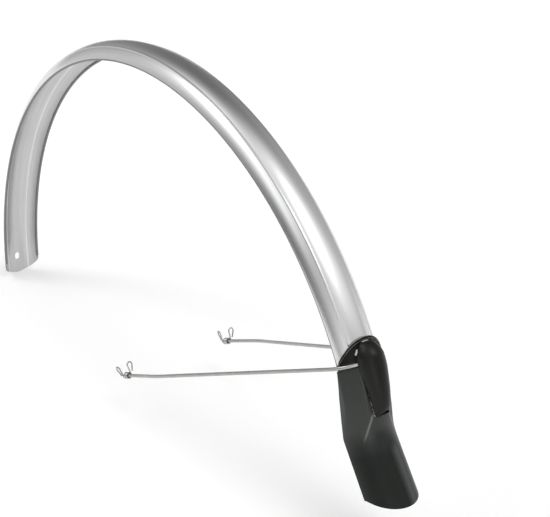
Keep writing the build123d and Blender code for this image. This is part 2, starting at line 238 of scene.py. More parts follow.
def tube(path, radius, seg=20, round_end=0.0, ends=True):
    """Round wire along a path; the frames turn as little as they can."""
    p = np.asarray(path, float)
    keep = np.r_[True, np.linalg.norm(np.diff(p, axis=0), axis=1) > 1e-6]
    p = p[keep]
    t = np.gradient(p, axis=0)
    t[0], t[-1] = p[1] - p[0], p[-1] - p[-2]
    t /= np.linalg.norm(t, axis=1)[:, None]
    ref = np.array([0.0, 0.0, 1.0])
    if abs(t[0] @ ref) > 0.9:
        ref = np.array([1.0, 0.0, 0.0])
    n = ref - t[0] * (ref @ t[0])
    n /= np.linalg.norm(n)
    a = np.linspace(0, 2 * np.pi, seg, endpoint=False)
    rings = []
    for i in range(len(p)):
        n = n - t[i] * (n @ t[i])
        n /= np.linalg.norm(n)
        b = np.cross(t[i], n)
        rings.append((p[i], t[i], n.copy(), b))

    def ring(c, n, b, r):
        return c + r * (np.cos(a)[:, None] * n + np.sin(a)[:, None] * b)

    out = []
    e = round_end
    steps = [(1 - math.cos(x), math.sin(x)) for x in np.radians([20, 45, 70])] if e else []
    c, tt, n, b = rings[0]
    for back, grow in steps:
        out.append(ring(c - tt * e + tt * e * back, n, b, radius - e + e * grow))
    for c, tt, n, b in rings:
        out.append(ring(c, n, b, radius))
    c, tt, n, b = rings[-1]
    for back, grow in steps[::-1]:
        out.append(ring(c + tt * e - tt * e * back, n, b, radius - e + e * grow))
    verts = np.vstack(out)
    faces = grid_faces(len(out), seg, close=True)
    faces.append(tuple(range(seg))[::-1])
    k = (len(out) - 1) * seg
    faces.append(tuple(range(k, k + seg)))
    return verts, faces


def pchip(x, y, xs):
    """Smooth interpolation that doesn't overshoot."""
    x, y, xs = (np.asarray(v, float) for v in (x, y, xs))
    if x[0] > x[-1]:
        x, y = x[::-1], y[::-1]
    h = np.diff(x)
    d = np.diff(y) / h
    m = np.zeros_like(y)
    for i in range(1, len(x) - 1):
        if d[i - 1] * d[i] > 0:
            w1, w2 = 2 * h[i] + h[i - 1], h[i] + 2 * h[i - 1]
            m[i] = (w1 + w2) / (w1 / d[i - 1] + w2 / d[i])
    m[0], m[-1] = d[0], d[-1]
    i = np.clip(np.searchsorted(x, xs) - 1, 0, len(x) - 2)
    t = (xs - x[i]) / h[i]
    h00, h10 = (1 + 2 * t) * (1 - t) ** 2, t * (1 - t) ** 2
    h01, h11 = t * t * (3 - 2 * t), t * t * (t - 1)
    return h00 * y[i] + h10 * h[i] * m[i] + h01 * y[i + 1] + h11 * h[i] * m[i + 1]


def smooth_line(p, sigma):
    """Rounds the corners of an open line of points; both ends stay."""
    seg = np.linalg.norm(np.diff(p, axis=0), axis=1)
    s = np.r_[0, np.cumsum(seg)]
    if s[-1] < 1e-6 or sigma <= 0:
        return p.copy()
    step = min(sigma / 3, s[-1] / 20)
    n = int(s[-1] / step) + 2
    u = np.linspace(0, s[-1], n)
    q = np.stack([np.interp(u, s, p[:, k]) for k in range(3)], -1)
    reach = int(4 * sigma / (u[1] - u[0])) + 1
    reach = min(reach, n - 1)
    w = np.exp(-0.5 * (np.arange(-reach, reach + 1) * (u[1] - u[0]) / sigma) ** 2)
    w /= w.sum()
    head = 2 * q[0] - q[1 : reach + 1][::-1]
    tail = 2 * q[-1] - q[-reach - 1 : -1][::-1]
    full = np.vstack([head, q, tail])
    r = np.stack([np.convolve(full[:, k], w, "valid") for k in range(3)], -1)
    return np.stack([np.interp(s, u, r[:, k]) for k in range(3)], -1)


# ----------------------------------------------------------------- materials
def material(name):
    m = bpy.data.materials.new(name)
    m.use_nodes = True
    nt = m.node_tree
    b = nt.nodes["Principled BSDF"]
    return m, nt, b


def node(nt, kind, **sockets):
    n = nt.nodes.new(kind)
    for k, v in sockets.items():
        n.inputs[k.replace("_", " ")].default_value = v
    return n


def noise(nt, vec, scale, detail=3.0, rough=0.5):
    n = node(nt, "ShaderNodeTexNoise", Scale=scale, Detail=detail, Roughness=rough)
    nt.links.new(vec, n.inputs["Vector"])
    return n.outputs["Fac"]


def ramp(nt, fac, lo, hi, a=0.0, b=1.0):
    """Maps a texture onto a range."""
    n = nt.nodes.new("ShaderNodeMapRange")
    n.inputs["From Min"].default_value = a
    n.inputs["From Max"].default_value = b
    n.inputs["To Min"].default_value = lo
    n.inputs["To Max"].default_value = hi
    nt.links.new(fac, n.inputs["Value"])
    return n.outputs["Result"]


def tint(nt, fac, dark, light, a=0.3, b=0.7):
    n = nt.nodes.new("ShaderNodeValToRGB")
    n.color_ramp.elements[0].position = a
    n.color_ramp.elements[1].position = b
    n.color_ramp.elements[0].color = (*dark, 1)
    n.color_ramp.elements[1].color = (*light, 1)
    nt.links.new(fac, n.inputs["Fac"])
    return n.outputs["Color"]


def bump(nt, b, height, strength, distance):
    n = nt.nodes.new("ShaderNodeBump")
    n.inputs["Strength"].default_value = strength
    n.inputs["Distance"].default_value = distance
    nt.links.new(height, n.inputs["Height"])
    nt.links.new(n.outputs["Normal"], b.inputs["Normal"])


def math_in(nt):
    """Short hand for arithmetic in a node tree."""

    def op(kind, x, y=None, z=None):
        n = nt.nodes.new("ShaderNodeMath")
        n.operation = kind
        for i, v in enumerate((x, y, z)):
            if v is None:
                continue
            if isinstance(v, (int, float)):
                n.inputs[i].default_value = v
            else:
                nt.links.new(v, n.inputs[i])
        return n.outputs[0]

    return op


def blade_metal(name, dark, light, rough, side):
    """Satin silver with fine lines along the roll and a faint cloudiness."""
    m, nt, b = material(name)
    op = math_in(nt)
    co = nt.nodes.new("ShaderNodeTexCoord").outputs["Object"]
    sep = nt.nodes.new("ShaderNodeSeparateXYZ")
    nt.links.new(co, sep.inputs[0])
    # angle and radius round the axle, so that lines follow the roll
    x = op("SUBTRACT", sep.outputs[0], 0.358)
    z = op("SUBTRACT", sep.outputs[2], -0.0042)
    ang = op("ARCTAN2", z, x)
    rr = op("SQRT", op("ADD", op("MULTIPLY", x, x), op("MULTIPLY", z, z)))
    phi = op("ARCTAN2", op("ABSOLUTE", sep.outputs[1]), op("SUBTRACT", rr, 0.335))
    vec = nt.nodes.new("ShaderNodeCombineXYZ")
    nt.links.new(op("MULTIPLY", ang, 0.30), vec.inputs[0])
    nt.links.new(op("MULTIPLY", sep.outputs[1], 40.0), vec.inputs[1])
    nt.links.new(op("MULTIPLY", rr, 40.0), vec.inputs[2])
    streak = noise(nt, vec.outputs[0], 22.0, 4.0, 0.6)
    broad = noise(nt, vec.outputs[0], 6.0, 2.0, 0.5)
    cloud = noise(nt, co, 9.0, 3.0, 0.5)
    grain = noise(nt, co, 2600.0, 2.0, 0.5)
    tone = op("ADD", op("MULTIPLY", cloud, 0.4), op("MULTIPLY", op("ADD", streak, broad), 0.3))
    if side == "inside":
        # crease lines painted lighter as highlights, and painted shade darker towards the edges
        off = op("ABSOLUTE", op("SUBTRACT", phi, math.radians(CREASE_AT)))
        line = ramp(nt, off, 0.60, 0.0, math.radians(1.2), math.radians(3.2))
        edge = ramp(nt, phi, 0.0, -0.16, math.radians(38), math.radians(66))
        tone = op("ADD", op("ADD", tone, line), edge)
    nt.links.new(tint(nt, tone, dark, light, 0.25, 0.95), b.inputs["Base Color"])
    r = op("ADD", ramp(nt, streak, rough - 0.03, rough + 0.03, 0.25, 0.75), ramp(nt, cloud, -0.02, 0.02))
    nt.links.new(r, b.inputs["Roughness"])
    b.inputs["Metallic"].default_value = 1.0
    h = op("ADD", op("MULTIPLY", streak, 0.5), op("MULTIPLY", grain, 0.5))
    bump(nt, b, h, 0.10, 0.00008)
    return m


def flap_plastic():
    """Soft black plastic, satin, with a fine moulded grain and faint flow lines."""
    m, nt, b = material("satin_black_plastic")
    op = math_in(nt)
    co = nt.nodes.new("ShaderNodeTexCoord").outputs["Object"]
    mp = nt.nodes.new("ShaderNodeMapping")
    mp.inputs["Rotation"].default_value = (0.0, FLARE_TILT, 0.0)
    mp.inputs["Scale"].default_value = (0.3, 1.0, 0.06)
    nt.links.new(co, mp.inputs["Vector"])
    flow = noise(nt, mp.outputs["Vector"], 260.0, 3.0, 0.55)
    grain = noise(nt, co, 1500.0, 3.0, 0.6)
    cloud = noise(nt, co, 40.0, 4.0, 0.55)
    tone = op("ADD", op("MULTIPLY", flow, 0.55), op("MULTIPLY", cloud, 0.45))
    # distance above the kink, and across from the moulded ridge
    run = nt.nodes.new("ShaderNodeSeparateXYZ")
    nt.links.new(co, run.inputs[0])
    up = op("ADD", op("MULTIPLY", op("SUBTRACT", run.outputs[0], 0.6789), -0.3746),
            op("MULTIPLY", op("SUBTRACT", run.outputs[2], 0.084), 0.9272))
    # painted highlight: a pale line along the moulded ridge, fading out at both ends
    ridge = ramp(nt, up, 0.01818, 0.00778, -0.005, 0.022)
    off = op("ABSOLUTE", op("SUBTRACT", op("ABSOLUTE", run.outputs[1]), ridge))
    line = op("MULTIPLY", ramp(nt, off, 1.0, 0.0, 0.0003, 0.0020), ramp(nt, up, 0.0, 1.0, -0.008, 0.003))
    line = op("MULTIPLY", line, ramp(nt, up, 1.0, 0.0, 0.018, 0.022))
    # on the outer face only
    face = nt.nodes.new("ShaderNodeSeparateXYZ")
    nt.links.new(co.node.outputs["Normal"], face.inputs[0])
    line = op("MULTIPLY", line, ramp(nt, face.outputs[0], 0.0, 1.0, 0.0, 0.2))
    # moulded tone, lifted to a pale painted highlight along the ridge line
    tone_and_highlight = tint(nt, op("ADD", tone, op("MULTIPLY", line, 0.5)), (0.0052, 0.0062, 0.0056), (0.0098, 0.0112, 0.0102))
    highlight_stop = tone_and_highlight.node.color_ramp.elements.new(1.0)
    highlight_stop.color = (0.100, 0.110, 0.102, 1)
    nt.links.new(tone_and_highlight, b.inputs["Base Color"])
    nt.links.new(ramp(nt, tone, 0.34, 0.43, 0.3, 0.7), b.inputs["Roughness"])
    # shinier shoe above the kink, duller flare below it with one rubbed side
    side = op("MULTIPLY", ramp(nt, run.outputs[1], 0.0, 0.78, 0.001, 0.008),
              ramp(nt, run.outputs[1], 1.0, 0.1, 0.0075, 0.0125))
    side = op("MULTIPLY", side, ramp(nt, up, 1.0, 0.0, -0.018, -0.010))
    nt.links.new(op("ADD", ramp(nt, up, 0.22, 0.60, -0.018, 0.006), side), b.inputs["Specular IOR Level"])
    b.inputs["Specular Tint"].default_value = (0.95, 1.0, 0.96, 1.0)
    bump(nt, b, grain, 0.14, 0.00010)
    return m


def gloss_plastic(name, tone_and_highlight, shine):
    """Polished black plastic: a little waviness, faint dust, and painted highlights along the edges."""
    m, nt, b = material(name)
    op = math_in(nt)
    co = nt.nodes.new("ShaderNodeTexCoord").outputs["Object"]
    wave = noise(nt, co, 70.0, 2.0, 0.5)
    dust = noise(nt, co, 700.0, 4.0, 0.7)
    # painted highlights: the mesh's edge weights lift the colour towards the pale top stop
    highlight_weight = nt.nodes.new("ShaderNodeAttribute")
    highlight_weight.attribute_name = "edge"
    tone = op("ADD", dust, op("MULTIPLY", highlight_weight.outputs["Fac"], 0.55))
    col = tint(nt, tone, (0.0042, 0.0046, 0.0038), (0.0085, 0.0090, 0.0078), 0.4, 0.75)
    col.node.color_ramp.elements.new(1.0).color = (*tone_and_highlight, 1)
    nt.links.new(col, b.inputs["Base Color"])
    nt.links.new(ramp(nt, dust, 0.34, 0.42, 0.3, 0.8), b.inputs["Roughness"])
    b.inputs["Specular IOR Level"].default_value = shine
    b.inputs["Specular Tint"].default_value = (0.96, 1.0, 0.91, 1.0)
    bump(nt, b, wave, 0.10, 0.0004)
    return m


def steel(name, base, r0, r1, scale, lines=None):
    """Drawn wire or plated steel: streaks along, small tone changes."""
    m, nt, b = material(name)
    tc = nt.nodes.new("ShaderNodeTexCoord").outputs["Object"]
    co = tc
    if lines is not None:
        mp = nt.nodes.new("ShaderNodeMapping")
        mp.inputs["Rotation"].default_value = lines[0]
        mp.inputs["Scale"].default_value = lines[1]
        nt.links.new(tc, mp.inputs["Vector"])
        co = mp.outputs["Vector"]
    s = noise(nt, co, scale, 4.0, 0.6)
    cloud = noise(nt, tc, 120.0, 3.0, 0.5)
    d = tuple(c * 0.86 for c in base)
    nt.links.new(tint(nt, cloud, d, base), b.inputs["Base Color"])
    nt.links.new(ramp(nt, s, r0, r1, 0.25, 0.75), b.inputs["Roughness"])
    b.inputs["Metallic"].default_value = 1.0
    bump(nt, b, s, 0.10, 0.00006)
    return m


SILVER = blade_metal("satin_silver", (0.68, 0.68, 0.685), (0.79, 0.79, 0.795), 0.22, "outside")
# the inside: the same silver with painted shade (darker base colour, darker edges) and painted highlights on the
# crease lines
SILVER_IN_PAINTED_LIGHT = blade_metal("satin_silver_inside_painted_light", (0.47, 0.47, 0.473), (0.77, 0.77, 0.774), 0.36, "inside")
# the curled edges: the same silver painted much darker, painted shade in the curls
SILVER_EDGE_SHADED = blade_metal("rolled_edge_painted_shade", (0.17, 0.17, 0.172), (0.27, 0.27, 0.272), 0.30, "edge")
FLAP = flap_plastic()
# the last colour of each is the pale painted highlight along its rims and edges
GLOSS = gloss_plastic("gloss_black_collar", (0.26, 0.25, 0.22), 0.15)
GLOSS_COVER = gloss_plastic("gloss_black_cover", (0.62, 0.62, 0.60), 0.24)
STAY_STEEL = steel(
    "drawn_steel", (0.43, 0.425, 0.41), 0.26, 0.36, 500.0,
    ((0.0, STAY_TILT, 0.0), (0.06, 1.0, 1.0)),
)
ZINC = steel("zinc_plated", (0.66, 0.66, 0.64), 0.28, 0.42, 700.0)
SPRING = steel("bright_spring_wire", (0.50, 0.49, 0.475), 0.18, 0.28, 900.0)


# --------------------------------------------------------------------- blade
def skin_r(phi, radius, lift=CREASE_H):
    """Radius of the sheet with its two raised crease lines."""
    d = np.abs(np.abs(phi) - CREASE_AT) / CREASE_HALF
    return radius + lift * np.where(d < 1, np.cos(np.pi / 2 * np.minimum(d, 1)) ** 2, 0)


def phi_samples():
    base = list(np.arange(0, HEM_AT, 2.25)) + [HEM_AT]
    fine = list(np.linspace(CREASE_AT - CREASE_HALF, CREASE_AT + CREASE_HALF, 13))
    lo, hi = fine[0] - 0.8, fine[-1] + 0.8
    half = sorted([b for b in base if not lo < b < hi] + fine)
    half = np.array(half)
    return np.r_[-half[::-1][:-1], half]


def flat_pad(p, limit):
    """Presses the sheet flat round the front hole."""
    k = 0.3
    p = p.copy()
    p[..., 0] = limit + k * np.logaddexp(0, (p[..., 0] - limit) / k)
    return p


def make_blade():
    phi = phi_samples()
    n = len(phi)
    ro, ri = skin_r(phi, SECTION_R), skin_r(phi, SECTION_R - SHEET, 0.5 * CREASE_H)
    a = np.radians(phi)
    outer = np.stack([ARC_R + ro * np.cos(a), ro * np.sin(a)], -1)
    inner = np.stack([ARC_R + ri * np.cos(a), ri * np.sin(a)], -1)
    nh = 22

    def hem(side, r):
        c = ARC_R + (SECTION_R - HEM_R) * math.cos(math.radians(HEM_AT))
        y = (SECTION_R - HEM_R) * math.sin(math.radians(HEM_AT))
        t = np.radians(np.linspace(HEM_AT, HEM_AT + HEM_TURN, nh + 1)[1:])
        return np.stack([c + r * np.cos(t), side * (y + r * np.sin(t))], -1)

    loop = np.vstack(
        [
            outer,
            hem(1, HEM_R),
            hem(1, HEM_R - SHEET)[::-1],
            inner[::-1],
            hem(-1, HEM_R - SHEET),
            hem(-1, HEM_R)[::-1],
        ]
    )
    m = len(loop)
    i_out = np.arange(n)
    i_in = n + 2 * nh + np.arange(n)[::-1]      # matches outer, column by column
    th = np.r_[np.arange(BLADE_REAR, 170, 1.0), np.arange(170, HEM_END - 0.2, 0.5), HEM_END]
    rows = [pol(t, loop[:, 0], loop[:, 1]) for t in th]
    body = np.stack(rows)
    # sheet beyond the curl, down to the rounded end
    front = 12
    zz = END_Z - END_DEPTH * np.sqrt(np.maximum(0, 1 - (outer[:, 1] / END_HALF_W) ** 2))

    def end_angle(r, z):
        return 180.0 - np.degrees(np.arcsin(z / r))

    tail = []
    for k in range(1, front + 1):
        f = k / front
        row = np.zeros((2 * n, 3))
        to = HEM_END + (end_angle(outer[:, 0], zz) - HEM_END) * f
        ti = HEM_END + (end_angle(inner[:, 0], zz) - HEM_END) * f
        row[:n] = pol(to, outer[:, 0], outer[:, 1])
        row[n:] = pol(ti, inner[:, 0], inner[:, 1])
        tail.append(row)
    tail = np.stack(tail)
    out_cols = np.zeros(m, bool)
    out_cols[i_out] = True
    in_cols = np.zeros(m, bool)
    in_cols[i_in] = True
    body[:, out_cols] = flat_pad(body[:, out_cols], PAD_X)
    body[:, in_cols] = flat_pad(body[:, in_cols], PAD_X + SHEET)
    tail[:, :n] = flat_pad(tail[:, :n], PAD_X)
    tail[:, n:] = flat_pad(tail[:, n:], PAD_X + SHEET)
    verts = np.vstack([body.reshape(-1, 3), tail.reshape(-1, 3)])
    faces = grid_faces(len(th), m, close=True)
    col = np.full(m, 2)
    col[: n - 1] = 0
    col[n + 2 * nh : 2 * n + 2 * nh - 1] = 1
    kinds = np.tile(col, len(th) - 1).tolist()
    last = (len(th) - 1) * m
    nb = len(th) * m

    def o(k, j):
        return last + i_out[j] if k == 0 else nb + (k - 1) * 2 * n + j

    def i(k, j):
        return last + i_in[j] if k == 0 else nb + (k - 1) * 2 * n + n + j

    for k in range(front):
        for j in range(n - 1):
            faces.append((o(k, j), o(k, j + 1), o(k + 1, j + 1), o(k + 1, j)))
            faces.append((i(k, j + 1), i(k, j), i(k + 1, j), i(k + 1, j + 1)))
            kinds += [0, 1]
        for j in (0, n - 1):
            faces.append((o(k, j), o(k + 1, j), i(k + 1, j), i(k, j)))
            kinds.append(2)
    for j in range(n - 1):
        faces.append((o(front, j), o(front, j + 1), i(front, j + 1), i(front, j)))
        faces.append((int(i_out[j]), int(i_out[j + 1]), int(i_in[j + 1]), int(i_in[j])))
        kinds += [2, 2]
    # ends of the curls
    for start, flip in ((n, False), (2 * n + 2 * nh, True)):
        for base in (0, last):
            first_o, first_i = (n - 1, n + 2 * nh) if not flip else (0, 2 * n + 2 * nh - 1)
            if not flip:
                oo = [first_o] + [n + q for q in range(nh)]
                ii = [first_i] + [n + 2 * nh - 1 - q for q in range(nh)]
            else:
                oo = [first_o] + [m - 1 - q for q in range(nh)]
                ii = [first_i] + [2 * n + 2 * nh + q for q in range(nh)]
            for q in range(nh):
                faces.append((base + oo[q], base + oo[q + 1], base + ii[q + 1], base + ii[q]))
                kinds.append(2)
    # outer skin; inside with painted shade and highlights; curled edges in painted shade
    mats = [SILVER, SILVER_IN_PAINTED_LIGHT, SILVER_EDGE_SHADED]
    ob = piece("blade_shell", verts, faces, mats, ["blade"], 32, kinds)
    v, f = prism(
        slot_outline(SLOT_L, SLOT_W),
        np.array([PAD_X - 4.0, 0, SLOT_Z]),
        np.array([0, 0, 1.0]),
        np.array([0, 1.0, 0]),
        np.array([9.0, 0, 0]),
    )
    cut(ob, v, f, 32)
    return ob


# ---------------------------------------------------------------------- flap
EDGE_LINE = np.array(
    [(310.2, 150.9), (312.6, 137.0), (314.1, 125.3), (317.3, 106.7), (320.9, 88.2)]
)
KINK = np.array([320.9, 0.0, 88.2])
KINK_N = np.array([math.cos(math.radians(22.0)), 0.0, math.sin(math.radians(22.0))])
FLARE_D = np.array([math.sin(FLARE_TILT), 0.0, -math.cos(FLARE_TILT)])
RIDGE = (12.9, 361.9)


def edge_radius(theta):
    """Where the edge line crosses a ray from the axle."""
    ang = np.degrees(np.arctan2(EDGE_LINE[:, 1], EDGE_LINE[:, 0]))[::-1]
    rad = np.hypot(EDGE_LINE[:, 0], EDGE_LINE[:, 1])[::-1]
    return float(np.interp(theta, ang, rad))


def bowed(a, b, sag, n):
    """Arc between two points of a section, bowed outwards; without its start."""
    a, b = np.array(a, float), np.array(b, float)
    d = b - a
    ll = np.hypot(*d)
    nrm = np.array([d[1], -d[0]]) / ll
    t = np.linspace(0, 1, n + 1)[1:]
    if abs(sag) < 1e-6:
        return a + t[:, None] * d
    r = (ll * ll / 4 + sag * sag) / (2 * sag)
    half = math.asin(min(1.0, ll / 2 / abs(r)))
    ang = (2 * t - 1) * half
    mid = (a + b) / 2
    along = r * np.sin(ang)
    up = sag - r * (1 - np.cos(ang))
    return mid + along[:, None] * (d / ll) + up[:, None] * nrm


def half_section(edge, skirt, ridge, crown, side_sag):
    rise = crown - ridge[1]
    w = ridge[0]
    r = (w * w + rise * rise) / (2 * rise)
    half = math.asin(min(1.0, w / abs(r))) / 2
    top_sag = r * (1 - math.cos(half))
    e, s = np.array(edge, float), np.array(skirt, float)
    t = np.linspace(0, 1, 7)[:, None]
    return np.vstack(
        [e + t * (s - e), bowed(skirt, ridge, side_sag, 20), bowed(ridge, (0, crown), top_sag, 14)]
    )


def shoe_half(theta, inner):
    e = edge_radius(theta)
    if inner:
        a, b = math.radians(31), math.radians(68)
        return half_section(
            (23.7, e),
            (LAYER_IN * math.sin(b), ARC_R + LAYER_IN * math.cos(b)),
            (LAYER_IN * math.sin(a), ARC_R + LAYER_IN * math.cos(a)),
            ARC_R + LAYER_IN,
            LAYER_IN * (1 - math.cos((b - a) / 2)),
        )
    return half_section((25.2, e), (25.1, 345.0), RIDGE, ARC_R + LAYER_OUT, 0.25)


def kink_half(grow, inner):
    q = 25.2 + grow - (FLAP_WALL if inner else 0.0)
    a, c = math.radians(48), 0.6
    return half_section(
        (q, 0.0), (q, c), (q * math.sin(a), c + q * math.cos(a)), c + q, q * (1 - math.cos(math.radians(21)))
    )


def flap_half(inner):
    """Grid of one half, from the sides' edge to the crown, top to tip."""
    rows = []
    for t in np.linspace(FLAP_AT, SHOE_LOW, 15):
        h = shoe_half(t, inner)
        rows.append(pol(t, h[:, 1], h[:, 0]))
    top = rows[-1]
    k0 = kink_half(0.0, inner)
    low = KINK + np.stack([0 * k0[:, 0], k0[:, 0], 0 * k0[:, 0]], -1) + k0[:, 1:] * KINK_N
    nb = 18
    e0 = np.array([top[0, 0], top[0, 2]])
    chain = np.vstack([e0, EDGE_LINE[3], EDGE_LINE[4]])
    cum = np.r_[0, np.cumsum(np.linalg.norm(np.diff(chain, axis=0), axis=1))]
    for k in range(1, nb + 1):
        f = k / nb
        row = top + (low - top) * f
        ex = np.interp(f * cum[-1], cum, chain[:, 0])
        ez = np.interp(f * cum[-1], cum, chain[:, 1])
        move = np.array([ex, 0, ez]) - np.array([row[0, 0], 0, row[0, 2]])
        fade = np.linspace(1, 0, 7)[:, None]
        row[:7] += move * fade
        rows.append(row)
    nc = 34
    k1 = kink_half(0.8, inner)
    rim = np.minimum(kink_half(0.8, False)[:, 0], 26.0)
    dn = float(KINK_N @ FLARE_D)
    s_end = (
        FLARE_L - FLARE_CORNER
        + FLARE_CORNER * np.sqrt(np.maximum(0, 1 - (rim / 26.1) ** 2))
        - k1[:, 1] * dn
    )
    for k in range(1, nc + 1):
        s = s_end * (k / nc)
        g = (s / (FLARE_L + 6))[:, None]
        h = k0 + (k1 - k0) * g
        p = KINK + np.stack([0 * s, h[:, 0], 0 * s], -1) + h[:, 1:] * KINK_N + s[:, None] * FLARE_D
        rows.append(p)
    g = np.stack(rows)
    for j in range(g.shape[1]):
        f = j / (g.shape[1] - 1)
        g[:, j] = smooth_line(g[:, j], 1.2 + 5.5 * min(1.0, f * 1.6))
    for r in range(g.shape[0]):
        line = g[r]
        both = np.vstack([line, (line * [1, -1, 1])[::-1][1:]])
        both = smooth_line(both, 0.75)
        g[r] = both[: len(line)]
    return g


def whole(half):
    """Adds the mirrored half; the crown column is shared."""
    return np.concatenate([half, (half * [1, -1, 1])[:, ::-1][:, 1:]], axis=1)


def shell(o, i, base=0):
    """Closed wall between two grids of the same size."""
    rows, cols = o.shape[:2]
    verts = np.vstack([o.reshape(-1, 3), i.reshape(-1, 3)])
    k = rows * cols
    faces = grid_faces(rows, cols, base) + grid_faces(rows, cols, base + k, flip=True)

    def rim(a):
        for p, q in zip(a[:-1], a[1:]):
            faces.append((base + p, base + q, base + k + q, base + k + p))

    idx = np.arange(k).reshape(rows, cols)
    rim(idx[0][::-1].tolist())
    rim(idx[-1].tolist())
    rim(idx[:, 0].tolist())
    rim(idx[:, -1][::-1].tolist())
    return verts, faces


def make_flap():
    o, i = whole(flap_half(False)), whole(flap_half(True))
    verts, faces = shell(o, i)
    # thin tongue under the stay
    ph = np.linspace(-66, 66, 67)
    th = np.linspace(FLAP_AT - 0.3, COLLAR_AT - 0.05, 4)

    def strip(r):
        a = np.radians(ph)
        return np.stack([pol(t, ARC_R + r * np.cos(a), r * np.sin(a)) for t in th[::-1]])

    v2, f2 = shell(strip(LAYER_IN + TONGUE_T), strip(LAYER_IN), len(verts))
    ob = piece("mudflap_moulding", np.vstack([verts, v2]), faces + f2, FLAP, ["mudflap"], 40)
    bevel(ob, 0.45, 3, 50)
    return ob


# -------------------------------------------------------------------- collar
RIM_HALF = [
    (0, 12.0), (5.2, 11.5), (10.2, 9.9), (15, 7.0), (18.8, 3.4), (22.3, -1.4), (23.9, -6.2), (24.7, -14),
]


def make_collar():
    ys, ss = zip(*RIM_HALF)
    ph = np.linspace(-61.4, 61.4, 111)
    a = np.radians(ph)
    y0 = LAYER_OUT * np.sin(a)
    top = pchip(ys, ss, np.abs(y0))
    r0 = ARC_R + LAYER_OUT * np.cos(a)
    bot = r0 * math.sin(math.radians(COLLAR_AT - 28))
    # fractions of the height: plain part, step, rim, rounded edge
    lift = [(0, 0), (0.15, 0), (0.3, 0), (0.45, 0), (0.6, 0), (0.75, 0), (0.9, 0), (1.0, 0)]
    step = [(3.3, 0.0), (3.05, 0.12), (2.85, 0.5), (2.65, 0.88), (2.4, 1.0), (1.6, 1.0), (0.9, 0.97), (0.4, 0.85), (0.12, 0.6), (0.0, 0.25)]
    # painted highlights: how much each row of the step and rim is drawn lighter
    light = [0, 0.1, 0.5, 0.9, 0.6, 0, 0, 0.7, 1.0, 1.0]
    outer, inner = [], []

    def row(s, r):
        rad = ARC_R + r * np.cos(a)
        yy = r * np.sin(a)
        th = 28 + np.degrees(np.arcsin(s / rad))
        return pol(th, rad, yy)

    start = np.maximum(bot, top - 3.5)
    for f, _ in lift:
        s = bot + (start - bot) * f
        outer.append(row(s, np.full_like(a, LAYER_OUT)))
        inner.append(row(s, np.full_like(a, LAYER_IN)))
    for d, h in step:
        s = np.maximum(bot + (top - bot) * (1 - d / 3.5), top - d) if d else top
        s = np.where(top - 3.5 > bot, top - d, bot + (top - bot) * (1 - d / 3.5))
        fade = np.clip((top - bot) / 2.0, 0.15, 1.0)
        outer.append(row(s, LAYER_OUT + (RIM_R - LAYER_OUT) * h * fade))
        inner.append(row(s, np.full_like(a, LAYER_IN)))
    v, f = shell(np.stack(outer), np.stack(inner))
    # painted highlight weights, on the outer skin only
    edge = np.zeros((2, len(outer), len(a)))
    edge[0, len(lift) :] = np.array(light)[:, None]
    return piece("stay_holder_moulding", v, f, GLOSS, ["stay_holder"], 38, None, edge.ravel())


# --------------------------------------------------------------------- cover
COVER_ROWS = [
    (29.2, 5.8, 366.2),
    (28.95, 7.9, 369.4),
    (28.4, 10.1, 372.5),
    (27.8, 12.0, 374.7),
    (27.0, 13.2, 376.0),
    (25.8, 13.4, 376.0),
    (24.0, 12.2, 375.1),
    (21.6, 10.3, 373.1),
    (20.0, 8.9, 370.7),
    (18.75, 7.7, 366.6),
]
COVER_KNEE = 364.2


def cover_grid(shrink):
    th, w, top = (np.array(c) for c in zip(*COVER_ROWS))
    t = np.r_[np.linspace(29.2, 27.2, 22), np.linspace(27.2, 19.3, 40)[1:], np.linspace(19.3, 18.75, 8)[1:]]
    ww = pchip(th, w, t) - shrink
    tt = pchip(th, top, t) - shrink
    if shrink:
        t = np.interp(t, [18.75, 19.7, 28.6, 29.2], [19.6, 20.3, 28.4, 28.9])
    else:
        # closing rows round the two ends
        t = np.r_[29.33, 29.29, t, 18.66, 18.6]
        ww = np.r_[3.0, 4.6, ww, 7.2, 6.2]
        tt = np.r_[363.0, 364.8, tt, 365.0, 363.2]
    n = 41
    rows = []
    for a, b, c in zip(t, ww, tt):
        low0 = ARC_R + math.sqrt(26.3**2 - min(b, 26) ** 2) - 2.0 * max(0.0, min(1.0, (SHOE_LOW - a) / 2.05))
        if shrink == 0 and (a > 29.25 or a < 18.7):
            low0 = min(low0, c - 1.2)
        knee = min(COVER_KNEE - 0.8 * shrink, c - 0.8)
        knee = max(knee, low0 + 0.3)
        s = b * 0.99
        # wall, then the half-round top
        h = max(c - knee, 0.3)
        r = (s * s + h * h) / (2 * h)
        half = math.atan2(s, r - h)
        arc = np.linspace(half, -half, n)
        y = r * np.sin(arc)
        z = c - r + r * np.cos(arc)
        y = np.r_[b, (b + s) / 2, y, -(b + s) / 2, -b]
        z = np.r_[low0, (low0 + knee) / 2, z, (low0 + knee) / 2, low0]
        rows.append(pol(a, np.maximum(z, low0), y))
    return np.stack(rows)


